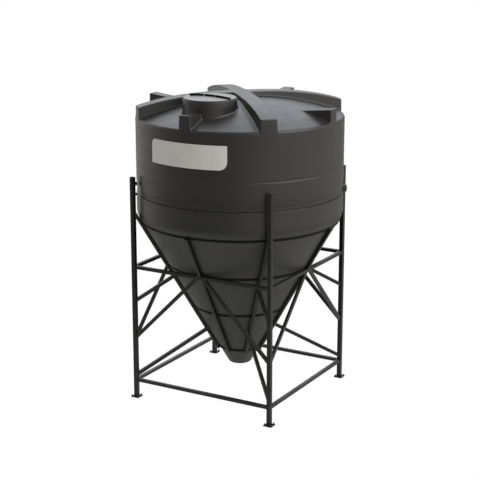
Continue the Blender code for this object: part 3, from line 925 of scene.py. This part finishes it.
def stud(bm, at, axis, rad, h):
    """Plain shank with a chamfered end and thread ridges."""
    prof = [(rad * 0.93, 0.0)]
    n = max(3, int(h / 0.0016))
    for i in range(n):
        prof.append((rad * (1.0 if i % 2 else 0.93), h * 0.94 * (i + 0.5) / n))
    prof += [(rad * 0.93, h * 0.95), (rad * 0.80, h)]
    turned_piece(bm, prof, at, axis, n=16)


def fasteners_mesh(name):
    """Four bolts with washers on every base plate."""
    bm = bmesh.new()
    for sx in (-1, 1):
        for sy in (-1, 1):
            for ox in (-0.038, 0.038):
                for oy in (-0.038, 0.038):
                    at = Vector((sx * POST_AT + ox, sy * POST_AT + oy, PLATE_T))
                    turned_piece(bm, [(0.0115, -0.0005), (0.0120, 0.0004), (0.0120, 0.0020), (0.0114, 0.0025)],
                                 at, Z, n=28)
                    hex_nut(bm, at + Z * 0.0025, Z, 0.018, 0.0098)
                    stud(bm, at + Z * 0.0120, Z, 0.0058, 0.0120)
    return mesh_of(name, bm, sharp=30.0)


def stops_mesh(name):
    """At each post two short blocks steady the tank, notched over the post's inner
    corner and welded to it; the upper one is the taller."""
    bm = bmesh.new()
    low, corner = 1.2385, 1.2556
    for deg in CORNERS.values():
        rot = turned_by(deg)
        for z, tall in ((2.631, 0.038), (2.506, 0.028)):
            rings = []
            for up, less in ((-tall / 2.0, 0.0010), (0.0012 - tall / 2.0, 0.0),
                             (tall / 2.0 - 0.0012, 0.0), (tall / 2.0, 0.0010)):
                w = 0.0120 - less
                plan = [(low + less, 0.0), (low + less, w - 0.003), (low + less + 0.0009, w - 0.0009),
                        (low + less + 0.003, w), (corner + w, w), (corner, 0.0), (corner + w, -w),
                        (low + less + 0.003, -w), (low + less + 0.0009, 0.0009 - w), (low + less, 0.003 - w)]
                rings.append([bm.verts.new(rot @ Vector((x, y, z + up))) for x, y in plan])
            k = len(rings[0])
            for p, q in zip(rings, rings[1:]):
                for i in range(k):
                    j = (i + 1) % k
                    bm.faces.new((p[i], p[j], q[j], q[i]))
            for ring in (rings[0], rings[-1]):
                bm.faces.new(ring[:6])
                bm.faces.new(ring[5:] + ring[:1])
            for w in (-0.0122, 0.0122):
                edge = [rot @ Vector((corner + 0.0117, w, z + tall * (i / 8.0 - 0.5))) for i in range(9)]
                stop_welds.append(edge)
    return mesh_of(name, bm, sharp=30.0)


stop_welds = []


BOSS_AZ = 29.0
BOSS_Z = 2.511


def fitting_mesh(name):
    """Round moulded fitting on the wall: a plug with a low domed face and a rolled edge."""
    bm = bmesh.new()
    out = Vector((cosd(BOSS_AZ), sind(BOSS_AZ), 0))
    base = out * (R - 0.014) + Z * BOSS_Z
    profile = [(0.0448, 0.0), (0.0446, 0.0300), (0.0444, 0.0420)]
    profile += [(0.0354 + 0.0090 * cosd(q), 0.0450 + 0.0090 * sind(q)) for q in (0, 15, 30, 45, 60, 75)]
    for i in range(8):
        r = 0.0350 * (1.0 - i / 7.0)
        profile.append((r, 0.0540 + 0.0052 * (1.0 - (r / 0.0350) ** 2)))
    turned_piece(bm, profile, base, out, n=72)
    return mesh_of(name, bm, sharp=35.0)


def outlet_mesh(name):
    """Threaded ring set in the tip round the outlet hole."""
    bm = bmesh.new()
    rows = [(0.0405, TIP_Z + 0.006), (0.0405, TIP_Z + 0.0005), (0.0395, TIP_Z - 0.0004), (0.0300, TIP_Z - 0.0004),
            (0.0262, TIP_Z + 0.0014)]
    for i in range(9):
        z = TIP_Z + 0.003 + 0.0035 * i
        rows += [(0.0256, z), (0.0238, z + 0.0014)]
    rows += [(0.0250, TIP_Z + 0.036), (0.0330, TIP_Z + 0.036), (0.0330, TIP_Z + 0.006)]
    lathe_at(bm, rows, 0.0, 0.0, 64, loop=True)
    return mesh_of(name, bm, sharp=30.0)

# ---------------------------------------------------------------- materials


class Nodes:
    """A Principled material and short ways to wire noise into it."""

    def __init__(self, name, rough, spec=0.5, metallic=0.0, **more):
        self.mat = bpy.data.materials.new(name)
        self.mat.use_nodes = True
        self.t = self.mat.node_tree
        self.bsdf = self.t.nodes["Principled BSDF"]
        self.set("Roughness", rough)
        self.set("Specular IOR Level", spec)
        self.set("Metallic", metallic)
        for k, v in more.items():
            self.set(k.replace("_", " "), v)
        self.coord = self.t.nodes.new("ShaderNodeTexCoord")

    def set(self, socket, value):
        self.bsdf.inputs[socket].default_value = value

    def link(self, a, b):
        self.t.links.new(a, b)

    def noise(self, scale, detail=3.0, rough=0.5, stretch=None, distort=0.0):
        n = self.t.nodes.new("ShaderNodeTexNoise")
        n.inputs["Scale"].default_value = scale
        n.inputs["Detail"].default_value = detail
        n.inputs["Roughness"].default_value = rough
        n.inputs["Distortion"].default_value = distort
        src = self.coord.outputs["Object"]
        if stretch:
            m = self.t.nodes.new("ShaderNodeMapping")
            m.inputs["Scale"].default_value = stretch
            self.link(src, m.inputs["Vector"])
            src = m.outputs["Vector"]
        self.link(src, n.inputs["Vector"])
        return n.outputs["Fac"]

    def ramp(self, fac, *stops):
        r = self.t.nodes.new("ShaderNodeValToRGB")
        while len(r.color_ramp.elements) < len(stops):
            r.color_ramp.elements.new(0.5)
        for e, (pos, col) in zip(r.color_ramp.elements, stops):
            e.position = pos
            e.color = (*col, 1.0) if len(col) == 3 else col
        self.link(fac, r.inputs["Fac"])
        return r.outputs["Color"]

    def spread(self, fac, low, high, out_low, out_high):
        m = self.t.nodes.new("ShaderNodeMapRange")
        m.inputs["From Min"].default_value = low
        m.inputs["From Max"].default_value = high
        m.inputs["To Min"].default_value = out_low
        m.inputs["To Max"].default_value = out_high
        self.link(fac, m.inputs["Value"])
        return m.outputs["Result"]

    def mix(self, fac, a, b):
        m = self.t.nodes.new("ShaderNodeMix")
        m.data_type = "RGBA"
        for socket, v in ((m.inputs[0], fac), (m.inputs[6], a), (m.inputs[7], b)):
            if isinstance(v, (tuple, float)):
                socket.default_value = (*v, 1.0) if isinstance(v, tuple) else v
            else:
                self.link(v, socket)
        return m.outputs[2]

    def math(self, op, a, b=None):
        m = self.t.nodes.new("ShaderNodeMath")
        m.operation = op
        for i, v in enumerate((a, b)):
            if v is None:
                continue
            if isinstance(v, (int, float)):
                m.inputs[i].default_value = v
            else:
                self.link(v, m.inputs[i])
        return m.outputs[0]

    def bump(self, *layers):
        """layers: (height, depth in metres)."""
        last = None
        for fac, depth in layers:
            b = self.t.nodes.new("ShaderNodeBump")
            b.inputs["Strength"].default_value = 1.0
            b.inputs["Distance"].default_value = depth
            self.link(fac, b.inputs["Height"])
            if last is not None:
                self.link(last, b.inputs["Normal"])
            last = b.outputs["Normal"]
        self.link(last, self.bsdf.inputs["Normal"])

    def color(self, c):
        self.link(c, self.bsdf.inputs["Base Color"])

    def roughness(self, f):
        self.link(f, self.bsdf.inputs["Roughness"])

    def up(self):
        g = self.t.nodes.new("ShaderNodeNewGeometry")
        s = self.t.nodes.new("ShaderNodeSeparateXYZ")
        self.link(g.outputs["Normal"], s.inputs[0])
        return s.outputs["Z"]


def grey(v, tint=(1.0, 1.0, 1.0)):
    return tuple(v * t for t in tint)


def plastic(name, base, tint, rough, grain=1.0, dust=1.0, spec=0.5, under=0.0):
    """Moulded polyethylene: cloudy tone, fine orange peel, a thin film of dust, and painted light that lifts the
    colour of down-facing faces.
    """
    m = Nodes(name, rough, spec)
    cloud = m.noise(2.3, 4.0, 0.55, distort=0.4)
    fine = m.noise(38.0, 3.0, 0.6)
    tone = m.ramp(cloud, (0.30, grey(base * 0.86, tint)), (0.52, grey(base, tint)), (0.74, grey(base * 1.14, tint)))
    tone = m.mix(m.spread(fine, 0.35, 0.75, 0.0, 0.16), tone, grey(base * 1.5, tint))
    # dust lies on what faces up, in faint patches
    lie = m.spread(m.up(), 0.35, 0.95, 0.0, 1.0)
    patch = m.spread(m.noise(5.5, 5.0, 0.62), 0.42, 0.72, 0.01, 0.06 * dust)
    tone = m.mix(m.math("MULTIPLY", lie, patch), tone, (0.20, 0.20, 0.19))
    # what faces down, such as the cone, is rougher and duller; its colour is also lifted paler there, a painted
    # light standing in for the light from below
    tone = m.mix(m.spread(m.up(), -0.46, -0.20, under * 3.0, 0.0), tone, grey(base * 2.4, tint))
    m.color(tone)
    r = m.spread(m.noise(9.0, 4.0, 0.6), 0.3, 0.7, rough - 0.035, rough + 0.045)
    r = m.math("ADD", r, m.math("MULTIPLY", lie, 0.03))
    m.roughness(m.math("ADD", r, m.spread(m.up(), -0.46, -0.20, under, 0.0)))
    m.bump((m.noise(520.0, 2.0, 0.5), 0.00005 * grain), (m.noise(95.0, 2.0, 0.5), 0.00012 * grain),
           (m.noise(4.5, 2.0, 0.4), 0.0010 * grain))
    return m.mat


def paint(name, base, rough, spec=0.5):
    """Black satin coat on steel: fine peel, dulled patches, thin scuffs."""
    m = Nodes(name, rough, spec)
    patch = m.noise(7.0, 5.0, 0.6, distort=0.3)
    tone = m.ramp(patch, (0.30, grey(base * 0.8)), (0.55, grey(base)), (0.80, grey(base * 1.5, (1.0, 1.0, 1.02))))
    scuff = m.noise(46.0, 6.0, 0.72, stretch=(1.0, 1.0, 0.35))
    tone = m.mix(m.spread(scuff, 0.66, 0.78, 0.0, 0.30), tone, (0.026, 0.025, 0.024))
    lie = m.spread(m.up(), 0.5, 1.0, 0.0, 0.05)
    tone = m.mix(m.math("MULTIPLY", lie, patch), tone, (0.14, 0.136, 0.13))
    m.color(tone)
    m.roughness(m.math("ADD", m.spread(patch, 0.3, 0.75, rough - 0.06, rough + 0.08),
                       m.spread(scuff, 0.62, 0.80, 0.0, 0.12)))
    m.bump((m.noise(700.0, 2.0, 0.5), 0.00003), (m.noise(160.0, 2.0, 0.5), 0.00006))
    return m.mat


def weld_paint(name, base, rough, spec=0.5):
    m = Nodes(name, rough, spec)
    n = m.noise(260.0, 3.0, 0.6)
    m.color(m.ramp(n, (0.3, grey(base * 0.7)), (0.7, grey(base * 1.5))))
    m.roughness(m.spread(m.noise(40.0, 3.0), 0.3, 0.7, rough - 0.05, rough + 0.10))
    m.bump((n, 0.0003))
    return m.mat


def dark_zinc(name):
    """Blackened zinc on the anchor bolts, dulled and worn pale in places."""
    m = Nodes(name, 0.42, metallic=0.6)
    spangle = m.noise(120.0, 3.0, 0.6)
    tone = m.ramp(spangle, (0.3, (0.030, 0.030, 0.031)), (0.6, (0.050, 0.050, 0.051)), (0.85, (0.11, 0.11, 0.11)))
    m.color(tone)
    m.roughness(m.spread(m.noise(55.0, 4.0), 0.3, 0.7, 0.36, 0.54))
    m.bump((m.noise(600.0, 2.0), 0.00003))
    return m.mat


def lid_top(name):
    """Pale moulded face of the lid, with faint turning marks of the mould."""
    m = Nodes(name, 0.34)
    cloud = m.noise(6.0, 4.0, 0.55)
    tone = m.ramp(cloud, (0.3, (0.135, 0.138, 0.142)), (0.7, (0.165, 0.168, 0.172)))
    dirt = m.noise(26.0, 6.0, 0.65)
    tone = m.mix(m.spread(dirt, 0.60, 0.80, 0.0, 0.35), tone, (0.10, 0.10, 0.10))
    m.color(tone)
    m.roughness(m.spread(m.noise(14.0, 4.0), 0.3, 0.7, 0.28, 0.42))
    m.bump((m.noise(400.0, 2.0), 0.00005), (m.noise(60.0, 2.0), 0.00010))
    return m.mat


def sheet(name):
    """Plain pale sheet: faint fibre and handling marks."""
    m = Nodes(name, 0.42)
    cloud = m.noise(5.0, 4.0, 0.5)
    tone = m.ramp(cloud, (0.3, (0.560, 0.554, 0.539)), (0.7, (0.612, 0.606, 0.590)))
    mark = m.noise(30.0, 6.0, 0.7, stretch=(1.0, 1.0, 2.5))
    tone = m.mix(m.spread(mark, 0.60, 0.78, 0.0, 0.25), tone, (0.45, 0.445, 0.433))
    m.color(tone)
    m.roughness(m.spread(m.noise(12.0, 4.0), 0.3, 0.7, 0.36, 0.50))
    m.bump((m.noise(900.0, 2.0), 0.00002), (m.noise(20.0, 2.0), 0.00015))
    return m.mat


# under roughens the cone and lifts its colour paler as painted light
TANK = plastic("tank_plastic_black", 0.0125, (1.0, 0.985, 0.945), 0.38, under=0.16)
NECK = plastic("manway_plastic_black", 0.0125, (1.0, 0.985, 0.945), 0.38, grain=0.7)
LID_SIDE = plastic("lid_plastic_black", 0.0125, (1.0, 0.99, 0.96), 0.38, grain=0.6)
# the grip ribs' plastic is far darker and duller than the lid's own black: painted shade standing in for the deep
# shade on the ribs' faces
RIB_PLASTIC_SHADED = plastic("lid_rib_painted_shade", 0.0016, (1.0, 1.0, 1.0), 0.45, grain=0.5, dust=0.2, spec=0.06)
LID_FACE = lid_top("lid_face_pale")
LABEL = sheet("label_sheet_bare")
PAINT = paint("frame_paint_black", 0.0018, 0.42, 0.42)
HOOP = paint("hoop_paint_black", 0.0014, 0.50, 0.10)
WELD = weld_paint("weld_paint_black", 0.003, 0.45, 0.25)
ZINC = dark_zinc("fastener_zinc_dark")
FITTING = plastic("fitting_plastic_black", 0.016, (1.0, 1.0, 0.98), 0.38, grain=0.5, dust=0.5)

# ---------------------------------------------------------------- pieces

add("tank_moulding", moulding_mesh("tank_moulding"), [TANK],
    replaces=("tank_wall", "tank_cone", "tank_roof"))
add("manway_collar", neck_mesh("manway_collar"), [NECK], replaces=("manway_neck",))
add("manway_cap", lid_mesh("manway_cap"), [LID_SIDE, LID_FACE], replaces=("manway_lid",))
add("manway_cap_ribs", lid_ribs_mesh("manway_cap_ribs"), [RIB_PLASTIC_SHADED])
add("label_sheet", label_mesh("label_sheet"), [LABEL], replaces=("label_plate",))
add("wall_fitting", fitting_mesh("wall_fitting"), [FITTING])
add("outlet_ring", outlet_mesh("outlet_ring"), [FITTING])

for name, mesh in build_frame_meshes().items():
    add(name + "_steel", mesh, [PAINT], replaces=(name,))
for name, (sx, sy) in {"post_front_left": (-1, -1), "post_front_right": (1, -1),
                       "post_back_right": (1, 1), "post_back_left": (-1, 1)}.items():
    add(name + "_steel", post_mesh(name + "_steel", sx, sy), [PAINT], replaces=(name,))
for name, z in RING_Z.items():
    add(name + "_hoop", hoop_mesh(name + "_hoop", z), [HOOP], replaces=(name,))

add("tank_stops", stops_mesh("tank_stops"), [PAINT])

bm = bmesh.new()
for loop in beads:
    bead_tube(bm, loop, 0.0033)
for edge in stop_welds:
    bead_tube(bm, edge, 0.0022, closed=False)
# short welds where the hoops run into the ribs
for k in range(8):
    q = math.radians(45.0 * k)
    out = Vector((math.cos(q), math.sin(q), 0.0))
    side = Vector((-math.sin(q), math.cos(q), 0.0))
    for z in RING_Z.values():
        if k % 2 == 0 and z > 2.0:
            continue
        for hand in (-1, 1):
            pts = []
            for i in range(7):
                zz = z + (i - 3) * 0.0034
                pts.append(out * (cone_r(zz, RING_T) - 0.0004) + side * (hand * RIB_W / 2.0) + Z * zz)
            bead_tube(bm, pts, 0.0030, closed=False)
add("weld_beads", mesh_of("weld_beads", bm), [WELD])
add("foot_bolts", fasteners_mesh("foot_bolts"), [ZINC])

# ---------------------------------------------------------------- camera

AZ, EL = math.radians(30.0), math.radians(15.0)
back = Vector((math.sin(AZ) * math.cos(EL), -math.cos(AZ) * math.cos(EL), math.sin(EL)))
cam = bpy.data.cameras.new("camera")
cam.sensor_width = 36.0
cam.lens = 18.0 / math.tan(math.radians(10.0))
eye = bpy.data.objects.new("camera", cam)
scene.collection.objects.link(eye)
eye.location = Vector((0.0, 0.0, 1.866)) + back * 16.31
eye.rotation_mode = "QUATERNION"
eye.rotation_quaternion = (-back).to_track_quat("-Z", "Y")
scene.camera = eye

# ---------------------------------------------------------------- floor and light

bm = bmesh.new()
bmesh.ops.create_circle(bm, cap_ends=True, segments=96, radius=5.0)
floor_mesh = bpy.data.meshes.new("floor")
bm.to_mesh(floor_mesh)
bm.free()
floor = bpy.data.objects.new("floor", floor_mesh)
floor.location = (0.0, 0.0, -0.0004)
scene.collection.objects.link(floor)
fm = bpy.data.materials.new("floor_pale")
fm.use_nodes = True
t = fm.node_tree
t.nodes.clear()
out = t.nodes.new("ShaderNodeOutputMaterial")
tc = t.nodes.new("ShaderNodeTexCoord")
length = t.nodes.new("ShaderNodeVectorMath")
length.operation = "LENGTH"
t.links.new(tc.outputs["Object"], length.inputs[0])
fade = t.nodes.new("ShaderNodeMapRange")
fade.interpolation_type = "SMOOTHSTEP"
for k, v in (("From Min", 4.2), ("From Max", 4.95), ("To Min", 0.0), ("To Max", 1.0)):
    fade.inputs[k].default_value = v
t.links.new(length.outputs["Value"], fade.inputs["Value"])
matte = t.nodes.new("ShaderNodeBsdfDiffuse")
matte.inputs["Color"].default_value = (0.05, 0.05, 0.05, 1.0)
glow = t.nodes.new("ShaderNodeEmission")
glow.inputs["Color"].default_value = (1.0, 0.99, 0.96, 1.0)
glow.inputs["Strength"].default_value = 0.68
dim = t.nodes.new("ShaderNodeAddShader")
pale = t.nodes.new("ShaderNodeEmission")
pale.inputs["Color"].default_value = (1.0, 1.0, 1.0, 1.0)
pale.inputs["Strength"].default_value = 1.02
seen = t.nodes.new("ShaderNodeLightPath")
both = t.nodes.new("ShaderNodeMixShader")
clear = t.nodes.new("ShaderNodeBsdfTransparent")
mixed = t.nodes.new("ShaderNodeMixShader")
t.links.new(matte.outputs[0], dim.inputs[0])
t.links.new(glow.outputs[0], dim.inputs[1])
t.links.new(seen.outputs["Is Camera Ray"], both.inputs[0])
t.links.new(dim.outputs[0], both.inputs[1])
t.links.new(pale.outputs[0], both.inputs[2])
t.links.new(fade.outputs["Result"], mixed.inputs["Fac"])
t.links.new(both.outputs[0], mixed.inputs[1])
t.links.new(clear.outputs[0], mixed.inputs[2])
t.links.new(mixed.outputs[0], out.inputs["Surface"])
floor_mesh.materials.append(fm)

world = bpy.data.worlds.new("studio")
scene.world = world
world.use_nodes = True
t = world.node_tree
t.nodes.clear()
out = t.nodes.new("ShaderNodeOutputWorld")
tc = t.nodes.new("ShaderNodeTexCoord")


def toward(direction, low, high, gain):
    """gain on the side of the studio that lies in a direction, fading round it."""
    d = t.nodes.new("ShaderNodeVectorMath")
    d.operation = "DOT_PRODUCT"
    d.inputs[1].default_value = direction
    t.links.new(tc.outputs["Generated"], d.inputs[0])
    m = t.nodes.new("ShaderNodeMapRange")
    m.interpolation_type = "SMOOTHSTEP"
    m.inputs["From Min"].default_value = low
    m.inputs["From Max"].default_value = high
    m.inputs["To Min"].default_value = 0.0
    m.inputs["To Max"].default_value = gain
    t.links.new(d.outputs["Value"], m.inputs["Value"])
    return m.outputs["Result"]


def plus(a, b):
    m = t.nodes.new("ShaderNodeMath")
    m.operation = "ADD"
    for i, v in enumerate((a, b)):
        if isinstance(v, float):
            m.inputs[i].default_value = v
        else:
            t.links.new(v, m.inputs[i])
    return m.outputs[0]


def total(start, *parts):
    level = start
    for part in parts:
        level = plus(level, part)
    return level


walls = total(0.38, toward((0.996, 0.087, 0.0), 0.0, 1.0, 0.62),      # right
              toward((-0.996, 0.087, 0.0), 0.70, 1.0, 0.36),         # left
              toward((-0.996, 0.087, 0.0), 0.00, 0.60, 0.11),        # and round to the front
              toward((-0.800, 0.100, 0.590), 0.66, 1.0, 0.36),       # and above
              toward((0.0, 0.0, -1.0), 0.24, 0.48, -0.34))           # below
soft_box = toward((-0.354, 0.612, 0.707), 0.72, 1.0, 1.86)           # high up behind
studio = t.nodes.new("ShaderNodeBackground")
studio.inputs["Color"].default_value = (1.0, 0.978, 0.935, 1.0)
t.links.new(walls, studio.inputs["Strength"])
cool = t.nodes.new("ShaderNodeBackground")
cool.inputs["Color"].default_value = (0.92, 0.99, 1.10, 1.0)
t.links.new(soft_box, cool.inputs["Strength"])
around = t.nodes.new("ShaderNodeAddShader")
t.links.new(studio.outputs[0], around.inputs[0])
t.links.new(cool.outputs[0], around.inputs[1])
backdrop = t.nodes.new("ShaderNodeBackground")
backdrop.inputs["Color"].default_value = (1.0, 1.0, 1.0, 1.0)
backdrop.inputs["Strength"].default_value = 1.0
path = t.nodes.new("ShaderNodeLightPath")
pick = t.nodes.new("ShaderNodeMixShader")
t.links.new(path.outputs["Is Camera Ray"], pick.inputs["Fac"])
t.links.new(around.outputs[0], pick.inputs[1])
t.links.new(backdrop.outputs[0], pick.inputs[2])
t.links.new(pick.outputs[0], out.inputs["Surface"])


def sun(name, az, el, strength, angle, color=(1.0, 1.0, 1.0)):
    lamp = bpy.data.lights.new(name, "SUN")
    lamp.energy = strength
    lamp.angle = math.radians(angle)
    lamp.color = color
    o = bpy.data.objects.new(name, lamp)
    scene.collection.objects.link(o)
    d = Vector((cosd(az) * cosd(el), sind(az) * cosd(el), sind(el)))
    o.rotation_mode = "QUATERNION"
    o.rotation_quaternion = d.to_track_quat("Z", "Y")
    return o


sun("key", 2.0, 36.0, 2.25, 60.0, (1.0, 0.99, 0.95))

scene.view_settings.view_transform = "Standard"
scene.view_settings.look = "None"
